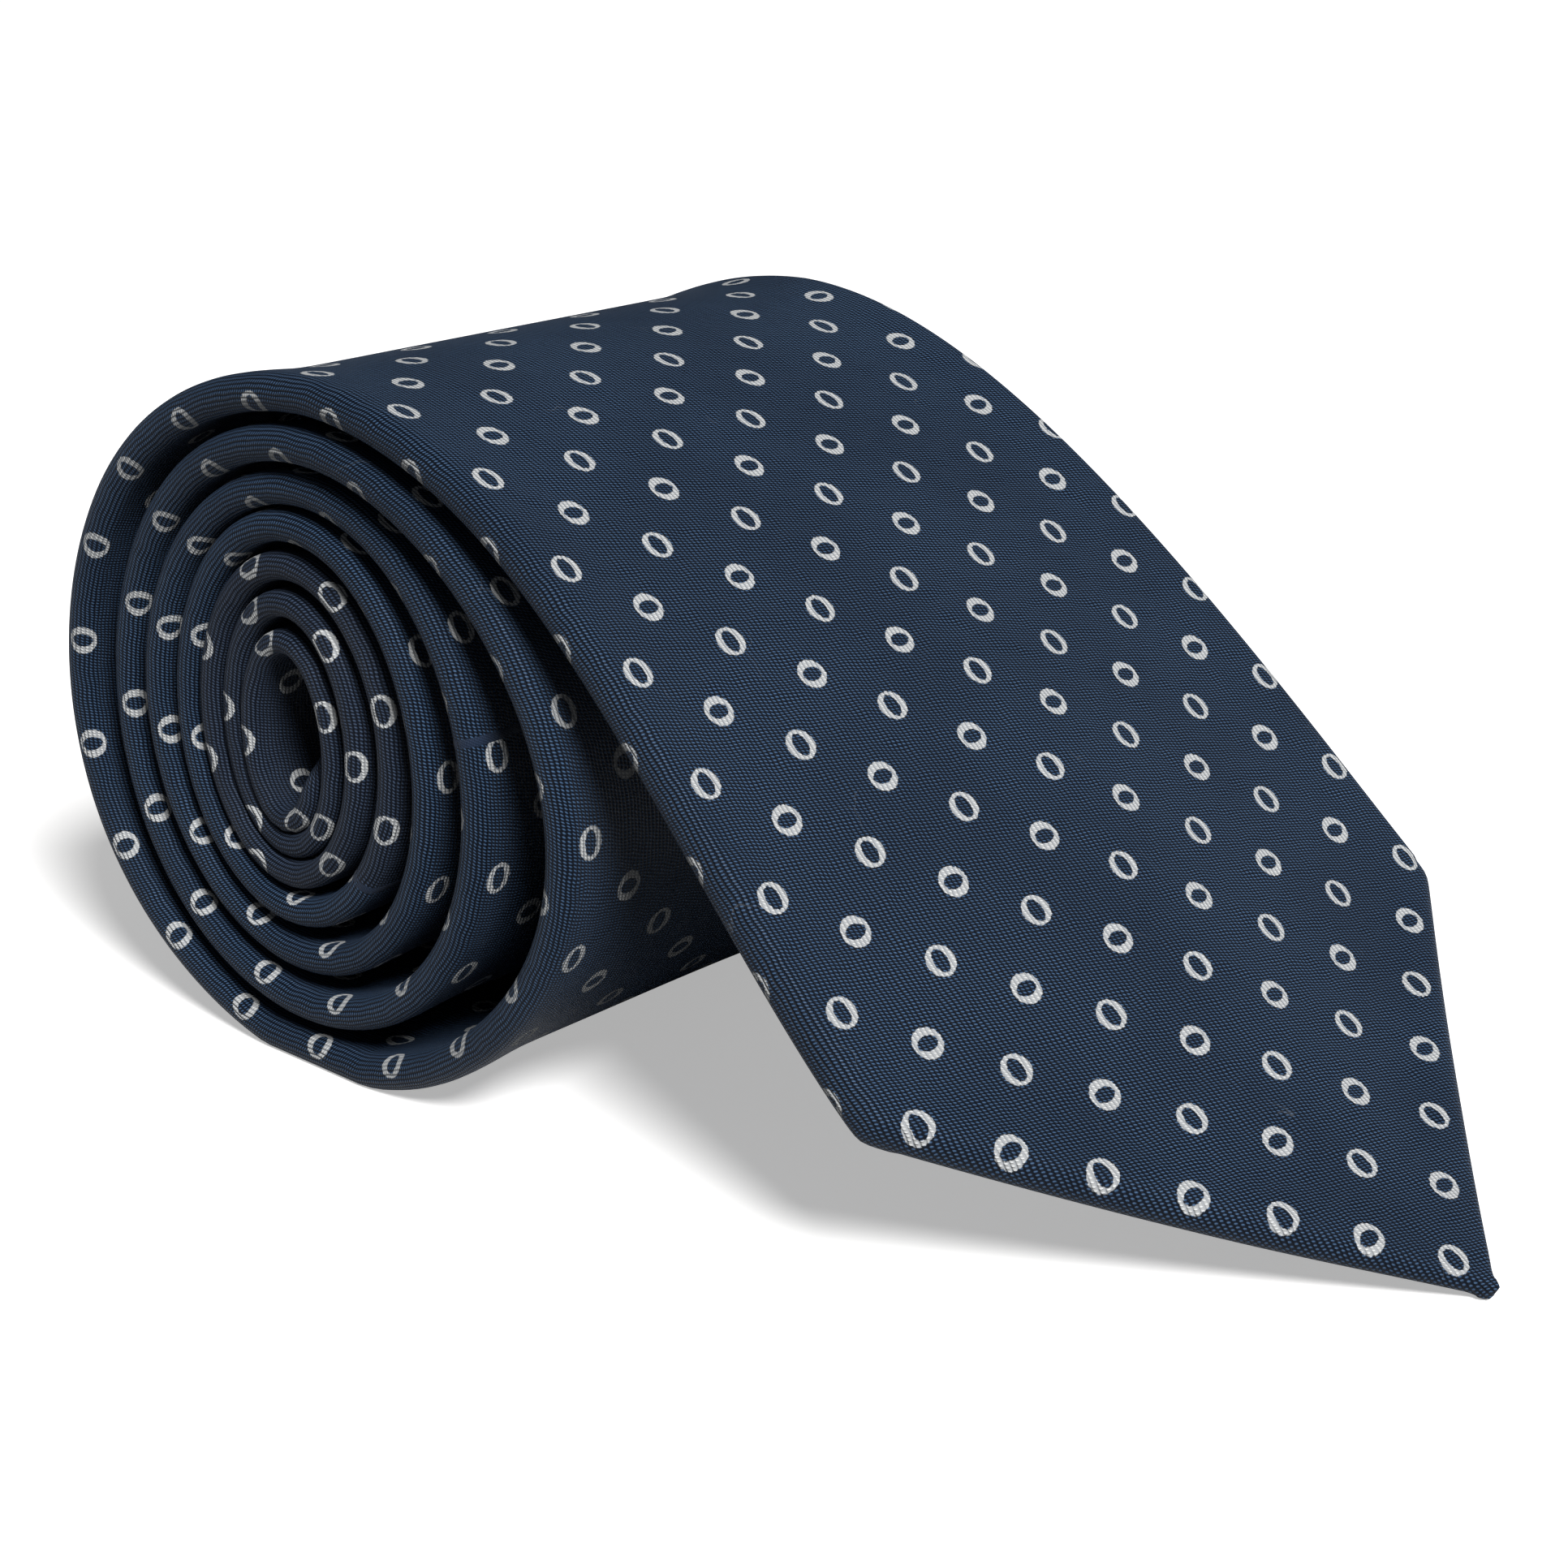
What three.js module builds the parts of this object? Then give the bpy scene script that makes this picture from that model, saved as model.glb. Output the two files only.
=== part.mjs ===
// A silk necktie, rolled up from its narrow end, with the pointed blade left free.
//
// The roll lies on its side. +Y runs along its axis, +X points to the tip of the free blade,
// +Z is up, and the origin is the middle of the flat patch that the roll stands on.
// Distances along the tie, called s, are measured from the tip of the blade. Across the tie,
// y is the width direction and n is the direction out of the roll, from the middle of the cloth.
// Millimetres throughout.

import * as THREE from "three";

// Driving dimensions of the tie.
const bladeWidth = 95; // at the two corners of the blade
const neckWidth = 38; // at its narrowest
const tailWidth = 48; // at the two corners of the tail
const bladeTaperEnd = 720; // s where the blade has narrowed to the neck
const taperPower = 1.5; // above 1, the blade narrows slowly at first
const tailTaperStart = 840; // s where the neck begins to widen into the tail
const bladePanelEnd = 590; // s of the seam between the blade and the neck pieces
const neckPanelEnd = 880; // s of the seam between the neck and the tail pieces

// Thickness of the tie and of what it is made from.
const bladeThickness = 3.2;
const tailThickness = 2.8;
const silkWall = 0.5; // the outer silk with its turned edges
const liningCloth = 0.4; // the tipping
const fitGap = 0.3; // between pieces that touch
const seamGap = 1.4; // the slit that the slip stitch closes

// The roll. Its turns are ovals, measured to the middle of the cloth and counted from the eye.
const turns = 7.25;
const eyeHalfWidth = 3.2;
const pitchAcross = 3.2; // what each turn adds to the half width at the eye
const looseAcross = 0.056; // the turns stand wider apart outwards, with the cube of their number
const eyeHalfHeight = 8;
const pitchUp = 3.1; // what each turn adds to the half height at the eye
const looseUp = 0.25; // the same outwards, with the square of their number
const rollMiddle = 41; // height of the middle of the outer turn
const innerRise = 1.3; // the turns half way in lie higher
const eyeShift = -6; // the eye lies to the left
const outerShift = 7; // and the outer turn this far to the right of it
const looseBulge = 3.3; // the outer turn stands off at its right
const looseBulgeBelow = 0.72; // turns below the top where that bulge is fullest
const looseBulgeReach = 0.25; // turns over which it fades out, on either side
const edgeRecess = 0.25; // how much deeper each turn's near edge lies than the one outside it
const stepsPerTurn = 18;

// The free blade.
const freeLength = 161; // from the top of the roll to the tip
const leavingRadius = 0.95; // the bend where the blade leaves the roll, as a share of the roll's radius
const tipFlattening = 15; // degrees by which the point lies flatter than the steepest part
const tipLift = 0.1; // how far the tip's underside is from pressing on the table
const cornerSag = 0.21; // slope of the near half of the blade, which hangs lower
const freeStations = [2, 9, 18, 28, 38, 55, 63, 71, 79, 87, 95, 103, 111, 119, 127, 135, 143, 152];

// The back of the tie.
const hemWidth = 14; // silk turned over the tipping
const seamStart = 105; // s where the two turned edges meet
const tailSeamLength = 62; // the same at the tail, from the tail's tip
const tippingLap = 5; // tipping hidden under the turned edges
const pieceSeamLength = 0.4; // of a seam between two pieces of silk
const stitchWidth = 0.5;
const stitchHeight = 0.3;
const tackLength = 9; // of a bar tack, across the tie
const tackWidth = 1.1;
const tackHeight = 0.35;
const pointClearance = 8; // from each tip to the ends of the interlining and the tipping
const keeperPlace = 204; // s of the middle of the keeper loop and of the label under it
const keeperLength = 15;
const keeperWidth = 58;
const keeperCloth = 0.6;
const keeperFoot = 6; // width of each end that is sewn down
const labelWidth = 42;
const labelLength = 26;
const labelCloth = 0.35;
const carePlace = 246; // s of the middle of the care label
const careWidth = 22;
const careLength = 28;

const colours = {
  silk: { color: 0x16243a, roughness: 0.52, metalness: 0 },
  lining: { color: 0x121c30, roughness: 0.38, metalness: 0 },
  wool: { color: 0xd9d3c4, roughness: 0.92, metalness: 0 },
  thread: { color: 0x1b2c48, roughness: 0.6, metalness: 0 },
  label: { color: 0x1a2740, roughness: 0.55, metalness: 0 },
  care: { color: 0xe6e4de, roughness: 0.6, metalness: 0 },
};

const degrees = Math.PI / 180;
const lerp = THREE.MathUtils.lerp;
const smooth = (value) => THREE.MathUtils.smoothstep(value, 0, 1);

function bulgeAt(turn) {
  const away = Math.abs(turns - looseBulgeBelow - turn) / looseBulgeReach;
  return away < 1 ? (looseBulge * (1 + Math.cos(Math.PI * away))) / 2 : 0;
}

// A point of the roll, as x and z. The outer end is at the top, and the cloth winds in to the left.
function rollPoint(turn) {
  const angle = (turns - turn) * 2 * Math.PI;
  const halfWidth = eyeHalfWidth + pitchAcross * turn + looseAcross * turn ** 3 + bulgeAt(turn);
  const halfHeight = eyeHalfHeight + pitchUp * turn + looseUp * turn ** 2;
  const rise = innerRise * Math.sin((Math.PI * turn) / turns) ** 2;
  const x = eyeShift + outerShift * (turn / turns) ** 2 - halfWidth * Math.sin(angle);
  const z = rollMiddle + rise + halfHeight * Math.cos(angle);
  return new THREE.Vector2(x, Math.max(z, bladeThickness / 2));
}

const rollRadius = eyeHalfHeight + pitchUp * turns + looseUp * turns ** 2;
const topOfRoll = rollPoint(turns);

// The free blade leaves the top of the roll level, falls, and flattens a little to its tip.
function freeSlope(distance, fall) {
  const flattening = tipFlattening * smooth((distance - 95) / 80);
  const reach = leavingRadius * rollRadius * fall * degrees;
  return (fall * (1 - Math.exp(-distance / reach)) - flattening) * degrees;
}

function freePoint(distance, fall) {
  const steps = 80;
  const point = topOfRoll.clone();
  for (let i = 0; i < steps; i += 1) {
    const slope = freeSlope(((i + 0.5) * distance) / steps, fall);
    point.x += (Math.cos(slope) * distance) / steps;
    point.y -= (Math.sin(slope) * distance) / steps;
  }
  return point;
}

// The steepest slope is the one that lets the tip come to rest on the table.
function settledFall() {
  const settledHeight = bladeThickness / 2 + tipLift;
  let shallow = 10;
  let steep = 85;
  for (let i = 0; i < 40; i += 1) {
    const middle = (shallow + steep) / 2;
    if (freePoint(freeLength - freeStations[0], middle).y > settledHeight) shallow = middle;
    else steep = middle;
  }
  return (shallow + steep) / 2;
}

const fall = settledFall();

// Stations along the tie: s, the point in the middle of the cloth, and the direction out of it.
function freeStation(s) {
  const slope = freeSlope(freeLength - s, fall);
  const out = new THREE.Vector2(Math.sin(slope), Math.cos(slope));
  return { s, point: freePoint(freeLength - s, fall), out };
}

function rollStation(turn, s) {
  const along = rollPoint(turn + 1e-4).sub(rollPoint(turn - 1e-4)).normalize();
  return { s, point: rollPoint(turn), out: new THREE.Vector2(-along.y, along.x) };
}

function makeStations() {
  const halfWidth = bladeWidth / 2;
  const places = [...freeStations, halfWidth].filter((s) => s < freeLength).sort((a, b) => a - b);
  const list = places.map(freeStation);
  list.push({ s: freeLength, point: topOfRoll, out: new THREE.Vector2(0, 1) });
  const count = Math.floor(turns * stepsPerTurn);
  for (let i = 0; i < count; i += 1) {
    const turn = turns - (i + 0.5) / stepsPerTurn;
    const before = list[list.length - 1];
    const s = before.s + before.point.distanceTo(rollPoint(turn));
    list.push(rollStation(turn, s));
  }
  return list;
}

const stations = makeStations();
const tieLength = stations[stations.length - 1].s;

function stationAt(s) {
  const next = Math.max(1, stations.findIndex((station) => station.s >= s));
  const [a, b] = [stations[next - 1], stations[next]];
  const share = (s - a.s) / (b.s - a.s);
  return { s, point: a.point.clone().lerp(b.point, share), out: a.out.clone().lerp(b.out, share) };
}

// From the inner end to the outer end of a piece, with every station of the cloth between.
function stationsBetween(outer, inner) {
  const between = stations.filter(({ s }) => s > outer + 0.01 && s < inner - 0.01);
  return [stationAt(outer), ...between, stationAt(inner)].reverse();
}

// The outline of the tie.
function tieWidth(s) {
  const fromTail = tieLength - s;
  const bladeCorner = bladeWidth / 2;
  const tailCorner = tieLength - tailWidth / 2;
  if (s < bladeCorner) return 2 * s;
  if (fromTail < tailWidth / 2) return Math.max(2 * fromTail, 4);
  if (s < bladeTaperEnd) {
    return lerp(bladeWidth, neckWidth, ((s - bladeCorner) / (bladeTaperEnd - bladeCorner)) ** taperPower);
  }
  if (s < tailTaperStart) return neckWidth;
  return lerp(neckWidth, tailWidth, (s - tailTaperStart) / (tailCorner - tailTaperStart));
}

// The outermost turn keeps the blade's full thickness, because the roll stands on it.
const thinningStart = freeLength + 2 * Math.PI * rollRadius;

function tieThickness(s) {
  if (s < thinningStart) return bladeThickness;
  return lerp(bladeThickness, tailThickness, (s - thinningStart) / (tieLength - thinningStart));
}

// The middle of the width. The near edge runs straight on from the blade's corner through every turn.
function tieMiddle(s) {
  const turnsIn = Math.max(0, (turns * (s - freeLength)) / (tieLength - freeLength));
  const nearEdge = edgeRecess * turnsIn - bladeWidth / 2;
  const tailCorner = tieLength - tailWidth / 2;
  if (s < bladeWidth / 2) return 0;
  if (s > tailCorner) return nearEdge + tailWidth / 2;
  return nearEdge + tieWidth(s) / 2;
}

// How wide the back stands open: a slit, except over the tipping of the point.
function backOpening(s) {
  const corner = bladeWidth / 2;
  const widest = bladeWidth - 2 * hemWidth;
  if (s < corner) return Math.max(seamGap, tieWidth(s) - 2 * hemWidth);
  return Math.max(seamGap, lerp(widest, seamGap, (s - corner) / (seamStart - corner)));
}

function tailOpening(s) {
  const corner = tailWidth / 2;
  const widest = tailWidth - hemWidth;
  const fromTip = tieLength - s;
  if (fromTip < corner) return Math.max(seamGap, tieWidth(s) - hemWidth);
  return Math.max(seamGap, lerp(widest, seamGap, (fromTip - corner) / (tailSeamLength - corner)));
}

// The near half of the free blade sags below the far half, more towards the tip.
function sagAt(s, y) {
  return -cornerSag * smooth((140 - s) / 90) * Math.max(0, -y);
}

function place(station, y, n) {
  const height = n + sagAt(station.s, y);
  return [station.point.x + station.out.x * height, y, station.point.y + station.out.y * height];
}

// A closed solid whose outline at each station is a ring of [y, n] points, anticlockwise.
function loft(line, outlineAt) {
  const outlines = line.map(outlineAt);
  const count = outlines[0].length;
  const vertices = outlines.flatMap((outline, i) => outline.map(([y, n]) => place(line[i], y, n)));
  const faces = [];
  for (let i = 0; i < line.length - 1; i += 1) {
    for (let j = 0; j < count; j += 1) {
      const a = i * count + j;
      const b = i * count + ((j + 1) % count);
      faces.push(a, b, b + count, a, b + count, a + count);
    }
  }
  addCap(faces, outlines[0], 0, false);
  addCap(faces, outlines[line.length - 1], (line.length - 1) * count, true);
  const geometry = new THREE.BufferGeometry();
  geometry.setAttribute("position", new THREE.Float32BufferAttribute(vertices.flat(), 3));
  geometry.setIndex(faces);
  geometry.computeVertexNormals();
  return geometry;
}

function addCap(faces, outline, first, facesForward) {
  const points = outline.map(([y, n]) => new THREE.Vector2(y, n));
  for (const corners of THREE.ShapeUtils.triangulateShape(points, [])) {
    const isLeft = !THREE.ShapeUtils.isClockWise(corners.map((corner) => points[corner]));
    const ordered = isLeft === facesForward ? corners : [...corners].reverse();
    faces.push(...ordered.map((corner) => first + corner));
  }
}

// Outlines of the pieces.
function roundingAt(s) {
  return Math.min(tieThickness(s) / 2, tieWidth(s) / 4);
}

function shellOutline(openingAt, hasMiddle) {
  return ({ s }) => {
    const half = tieWidth(s) / 2;
    const middle = tieMiddle(s);
    const top = tieThickness(s) / 2;
    const inside = top - silkWall;
    const fold = half - roundingAt(s);
    const open = Math.min(openingAt(s), fold) / 2;
    const crest = hasMiddle ? [[0, top]] : [];
    const ceiling = hasMiddle ? [[0, inside]] : [];
    const outline = [
      [open, -top],
      [fold, -top],
      [half, 0],
      [fold, top],
      ...crest,
      [-fold, top],
      [-half, 0],
      [-fold, -top],
      [-open, -top],
      [-open, -inside],
      [-fold, -inside],
      [-fold, inside],
      ...ceiling,
      [fold, inside],
      [fold, -inside],
      [open, -inside],
    ];
    return outline.map(([y, n]) => [middle + y, n]);
  };
}

// A flat layer from one height to another, with a vertex in the middle of the width.
function layerOutline(halfAt, lowAt, highAt) {
  return ({ s }) => {
    const half = halfAt(s);
    const middle = tieMiddle(s);
    const low = lowAt(s);
    const high = highAt(s);
    return [
      [middle - half, low],
      [middle, low],
      [middle + half, low],
      [middle + half, high],
      [middle, high],
      [middle - half, high],
    ];
  };
}

function boxOutline(halfAt, lowAt, highAt) {
  return ({ s }) => {
    const half = halfAt(s);
    const middle = tieMiddle(s);
    const low = lowAt(s);
    const high = highAt(s);
    return [
      [middle - half, low],
      [middle + half, low],
      [middle + half, high],
      [middle - half, high],
    ];
  };
}

const backFace = (s) => -tieThickness(s) / 2;
const cavityHalf = (s) => tieWidth(s) / 2 - roundingAt(s) - fitGap;
const cavityTop = (s) => tieThickness(s) / 2 - silkWall - fitGap;
const cavityFloor = (s) => -cavityTop(s);
const overTipping = (s) => cavityFloor(s) + liningCloth + fitGap;
const stitchFloor = (s) => backFace(s) + (silkWall - stitchHeight) / 2;
const stitchTop = (s) => stitchFloor(s) + stitchHeight;

// The model.
const necktie = new THREE.Group();
necktie.name = "necktie";

function add(name, colour, line, outlineAt) {
  const material = new THREE.MeshStandardMaterial(colours[colour]);
  const mesh = new THREE.Mesh(loft(line, outlineAt), material);
  mesh.name = name;
  necktie.add(mesh);
}

const noOpening = () => seamGap;
const splitGap = fitGap / 2;
const seamRoom = pieceSeamLength / 2 + fitGap;
const freeEnd = freeLength - splitGap;
const rollStart = freeLength + splitGap;

// Outer silk: the blade, cut here where it leaves the roll, the neck piece and the tail piece.
add("blade_free_end", "silk", stationsBetween(freeStations[0], freeEnd), shellOutline(backOpening, true));
add("blade_rolled", "silk", stationsBetween(rollStart, bladePanelEnd - seamRoom), shellOutline(noOpening));
add(
  "neck_piece",
  "silk",
  stationsBetween(bladePanelEnd + seamRoom, neckPanelEnd - seamRoom),
  shellOutline(noOpening),
);
add(
  "tail_piece",
  "silk",
  stationsBetween(neckPanelEnd + seamRoom, tieLength - 0.01),
  shellOutline(tailOpening),
);

// The seams that join the three pieces of silk.
for (const [name, s] of [["blade_neck_seam", bladePanelEnd], ["neck_tail_seam", neckPanelEnd]]) {
  const line = stationsBetween(s - pieceSeamLength / 2, s + pieceSeamLength / 2);
  add(name, "thread", line, shellOutline(noOpening));
}

// Wool interlining inside the silk, from point to point.
const freeWool = stationsBetween(pointClearance, freeEnd);
const rolledWool = stationsBetween(rollStart, tieLength - pointClearance);
add("interlining_free_end", "wool", freeWool, layerOutline(cavityHalf, overTipping, cavityTop));
add("interlining_rolled", "wool", rolledWool, boxOutline(cavityHalf, overTipping, cavityTop));

// Tippings, the lining cloth behind both points.
const tippingTop = (s) => cavityFloor(s) + liningCloth;
const bladeTippingHalf = (s) => Math.min(backOpening(s) / 2 + tippingLap, cavityHalf(s));
const tailTippingHalf = (s) => Math.min(tailOpening(s) / 2 + tippingLap, cavityHalf(s));
add(
  "blade_tipping",
  "lining",
  stationsBetween(pointClearance, seamStart + tippingLap),
  layerOutline(bladeTippingHalf, cavityFloor, tippingTop),
);
add(
  "tail_tipping",
  "lining",
  stationsBetween(tieLength - tailSeamLength - tippingLap, tieLength - pointClearance),
  boxOutline(tailTippingHalf, cavityFloor, tippingTop),
);

// The slip stitch along the back, and the bar tacks that finish it at both ends.
const stitchHalf = () => stitchWidth / 2;
const tackStart = seamStart + fitGap;
const stitchStart = tackStart + tackWidth + fitGap;
const tailTackEnd = tieLength - tailSeamLength - fitGap;
const stitchEnd = tailTackEnd - tackWidth - fitGap;
const stitchOutline = boxOutline(stitchHalf, stitchFloor, stitchTop);
add("slip_stitch_free_end", "thread", stationsBetween(stitchStart, freeEnd), stitchOutline);
add("slip_stitch_rolled", "thread", stationsBetween(rollStart, stitchEnd), stitchOutline);

const tackTop = (s) => backFace(s) - fitGap;
const tackFloor = (s) => tackTop(s) - tackHeight;
const tackOutline = layerOutline(() => tackLength / 2, tackFloor, tackTop);
add("blade_bar_tack", "thread", stationsBetween(tackStart, tackStart + tackWidth), tackOutline);
add("tail_bar_tack", "thread", stationsBetween(tailTackEnd - tackWidth, tailTackEnd), tackOutline);

// The label, the keeper loop over it, and the care label, all on the back of the blade.
const labelTop = (s) => backFace(s) - fitGap;
const labelFloor = (s) => labelTop(s) - labelCloth;
add(
  "label",
  "label",
  stationsBetween(keeperPlace - labelLength / 2, keeperPlace + labelLength / 2),
  boxOutline(() => labelWidth / 2, labelFloor, labelTop),
);
add(
  "care_label",
  "care",
  stationsBetween(carePlace - careLength / 2, carePlace + careLength / 2),
  boxOutline(() => careWidth / 2, labelFloor, labelTop),
);

function keeperOutline({ s }) {
  const middle = tieMiddle(s);
  const half = keeperWidth / 2;
  const foot = half - keeperFoot;
  const bridge = labelFloor(s) - fitGap;
  const sole = labelTop(s);
  const outline = [
    [-half, bridge - keeperCloth],
    [half, bridge - keeperCloth],
    [half, sole],
    [foot, sole],
    [foot, bridge],
    [-foot, bridge],
    [-foot, sole],
    [-half, sole],
  ];
  return outline.map(([y, n]) => [middle + y, n]);
}
add(
  "keeper_loop",
  "silk",
  stationsBetween(keeperPlace - keeperLength / 2, keeperPlace + keeperLength / 2),
  keeperOutline,
);

export default necktie;
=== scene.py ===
import math

import bpy
import numpy as np
from mathutils import Matrix, Vector


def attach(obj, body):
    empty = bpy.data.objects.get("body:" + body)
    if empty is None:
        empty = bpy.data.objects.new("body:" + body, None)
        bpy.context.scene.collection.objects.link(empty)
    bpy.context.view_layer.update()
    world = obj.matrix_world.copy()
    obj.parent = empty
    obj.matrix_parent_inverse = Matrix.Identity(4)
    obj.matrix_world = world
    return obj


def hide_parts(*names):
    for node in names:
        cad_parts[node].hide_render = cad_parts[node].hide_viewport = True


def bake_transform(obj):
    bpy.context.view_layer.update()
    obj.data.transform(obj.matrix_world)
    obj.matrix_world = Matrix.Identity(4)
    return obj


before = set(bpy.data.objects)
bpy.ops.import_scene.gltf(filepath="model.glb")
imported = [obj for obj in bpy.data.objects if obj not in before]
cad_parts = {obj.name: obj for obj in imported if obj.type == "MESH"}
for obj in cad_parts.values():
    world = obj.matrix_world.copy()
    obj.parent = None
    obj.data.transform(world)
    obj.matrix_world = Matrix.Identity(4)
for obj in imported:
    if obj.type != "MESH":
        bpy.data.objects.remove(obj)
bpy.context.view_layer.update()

mm = 0.001
scene = bpy.context.scene
scene.view_settings.view_transform = "Standard"


# Short hands for a node tree

class Wiring:
    def __init__(self, tree):
        self.tree = tree

    def node(self, kind, **settings):
        made = self.tree.nodes.new(kind)
        for key, value in settings.items():
            setattr(made, key, value)
        return made

    def link(self, source, target):
        self.tree.links.new(source, target)

    def feed(self, socket, value):
        # another node's output is linked, a number or a colour is set
        if hasattr(value, "is_linked"):
            self.link(value, socket)
        else:
            socket.default_value = value

    def math(self, operation, *values):
        made = self.node("ShaderNodeMath", operation=operation)
        for position, value in enumerate(values):
            self.feed(made.inputs[position], value)
        return made.outputs[0]

    def length(self, a, b):
        return self.math("SQRT", self.math("ADD", self.math("POWER", a, 2),
                                           self.math("POWER", b, 2)))

    def ramp(self, value, low, high, toLow=0.0, toHigh=1.0):
        made = self.node("ShaderNodeMapRange", interpolation_type="SMOOTHSTEP")
        self.feed(made.inputs["Value"], value)
        limits = {"From Min": low, "From Max": high, "To Min": toLow, "To Max": toHigh}
        for label, number in limits.items():
            self.feed(made.inputs[label], number)
        return made.outputs["Result"]

    def mix(self, share, a, b):
        made = self.node("ShaderNodeMix", data_type="RGBA")
        for position, value in ((0, share), (6, a), (7, b)):
            self.feed(made.inputs[position], value)
        return made.outputs[2]

    def noise(self, cloth, scale, detail=2):
        made = self.node("ShaderNodeTexNoise", noise_dimensions="2D")
        made.inputs["Scale"].default_value = scale
        made.inputs["Detail"].default_value = detail
        self.link(cloth, made.inputs["Vector"])
        return made


# Camera, light and table

viewpoint = {
    "place": (0.2691, -0.2695, 0.1647),
    "target": (0.0475, -0.0141, 0.0410),
    "roll": 1.16,  # degrees, anticlockwise
    "lens": 70.5,
    "nearest": 0.01,
}


def makeCamera(look):
    data = bpy.data.cameras.new("studioCamera")
    data.lens = look["lens"]
    data.clip_start = look["nearest"]
    camera = bpy.data.objects.new("studioCamera", data)
    scene.collection.objects.link(camera)
    place = Vector(look["place"])
    turned = (Vector(look["target"]) - place).to_track_quat("-Z", "Y")
    spin = Matrix.Rotation(math.radians(look["roll"]), 4, "Z")
    camera.matrix_world = Matrix.Translation(place) @ turned.to_matrix().to_4x4() @ spin
    scene.camera = camera


keyLight = {
    "place": (3.1, -1.6, 3.5),
    "target": (0.03, 0, 0.04),
    "size": 1.6,
    "power": 365,
    "colour": (1.0, 0.99, 0.98),
}


def makeLight(name, look):
    data = bpy.data.lights.new(name, "AREA")
    data.shape = "DISK"
    data.size = look["size"]
    data.energy = look["power"]
    data.color = look["colour"]
    light = bpy.data.objects.new(name, data)
    scene.collection.objects.link(light)
    aim = Vector(look["target"]) - Vector(look["place"])
    light.location = look["place"]
    light.rotation_mode = "QUATERNION"
    light.rotation_quaternion = aim.to_track_quat("-Z", "Y")


tableLook = {
    "colour": (0.94, 0.94, 0.94, 1),
    "bounceColour": (0.12, 0.12, 0.12, 1),  # little light comes back up, as in a dark studio
    "glow": 0.42,  # only where the camera sees the table
    "glowColour": (1, 1, 1, 1),
    "roughness": 0.9,
    "specular": 0.1,
    "halfSize": 40.0,
    "height": -0.0003,
}


def makeTable(look):
    material = bpy.data.materials.new("paleTable")
    material.use_nodes = True
    w = Wiring(material.node_tree)
    shader = material.node_tree.nodes["Principled BSDF"]
    rays = w.node("ShaderNodeLightPath")
    colour = w.mix(rays.outputs["Is Diffuse Ray"], look["colour"], look["bounceColour"])
    glow = w.math("MULTIPLY", rays.outputs["Is Camera Ray"], look["glow"])
    w.link(colour, shader.inputs["Base Color"])
    w.link(glow, shader.inputs["Emission Strength"])
    shader.inputs["Emission Color"].default_value = look["glowColour"]
    shader.inputs["Roughness"].default_value = look["roughness"]
    shader.inputs["Specular IOR Level"].default_value = look["specular"]
    mesh = bpy.data.meshes.new("table")
    far = look["halfSize"]
    corners = [(-far, -far, 0), (far, -far, 0), (far, far, 0), (-far, far, 0)]
    mesh.from_pydata(corners, [], [(0, 1, 2, 3)])
    mesh.materials.append(material)
    table = bpy.data.objects.new("table", mesh)
    table.location.z = look["height"]
    scene.collection.objects.link(table)


backdrop = {
    "colour": (1.0, 1.0, 1.0, 1),
    "strength": 0.08,  # what lights the tie
    "whitening": 0.92,  # added where the camera sees it
}


def makeBackdrop(look):
    world = bpy.data.worlds.new("studio")
    world.use_nodes = True
    w = Wiring(world.node_tree)
    sky = world.node_tree.nodes["Background"]
    sky.inputs["Color"].default_value = look["colour"]
    rays = w.node("ShaderNodeLightPath")
    strength = w.math("MULTIPLY_ADD", rays.outputs["Is Camera Ray"], look["whitening"],
                      look["strength"])
    w.link(strength, sky.inputs["Strength"])
    scene.world = world


makeCamera(viewpoint)
makeBackdrop(backdrop)
makeLight("keyLight", keyLight)
makeTable(tableLook)
print("studio ready")


# The tie's own measures, in millimetres. s is the distance from the blade's tip along the tie.

tie = {
    "bladeWidth": 95.0,
    "neckWidth": 38.0,
    "tailWidth": 48.0,
    "bladeTaperEnd": 720.0,
    "taperPower": 1.5,
    "tailTaperStart": 840.0,
    "bladePanelEnd": 590.0,
    "neckPanelEnd": 880.0,
    "bladeThickness": 3.2,
    "tailThickness": 2.8,
    "freeLength": 161.0,
    "hemWidth": 14.0,
    "seamStart": 105.0,
    "tailSeamLength": 62.0,
    "slit": 0.3,  # half of the gap that the slip stitch closes
    "tipSkew": 2.6,  # the point lies a little to the far side
    "tipHalfWidth": 1.3,
    "tipBluntness": 0.02,
    "cornerSoftness": 0.8,
    "tailTipHalf": 1.5,
    "tailCornerSoftness": 1.2,
}

rollShape = {
    "turns": 7.25,
    "eyeHalfWidth": 3.2,
    "pitchAcross": 3.2,
    "looseAcross": 0.056,
    "eyeHalfHeight": 8.0,
    "pitchUp": 3.1,
    "looseUp": 0.25,
    "rollMiddle": 41.0,
    "innerRise": 1.3,
    "eyeShift": -6.0,
    "outerShift": 7.0,
    "looseBulge": 3.3,
    "looseBulgeBelow": 0.72,
    "looseBulgeReach": 0.25,
    "edgeRecess": 0.25,
    "stepsPerTurn": 18,
}

fallShape = {
    "leavingRadius": 0.95,
    "tipFlattening": 15.0,
    "flatteningStart": 95.0,
    "flatteningReach": 80.0,
    "tipLift": 0.1,
    "restingStart": 2.0,
    "slopeLimits": (10.0, 85.0),
    "cornerSag": 10.0,  # how far the near corner hangs below the middle
    "sagFrom": 6.0,  # to the far side of the middle
    "sagPower": 1.35,
    "sagEnd": 140.0,
    "sagReach": 90.0,
}

handOver = 178.0  # where free and rolled pieces meet, past the top, where nothing bends


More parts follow.
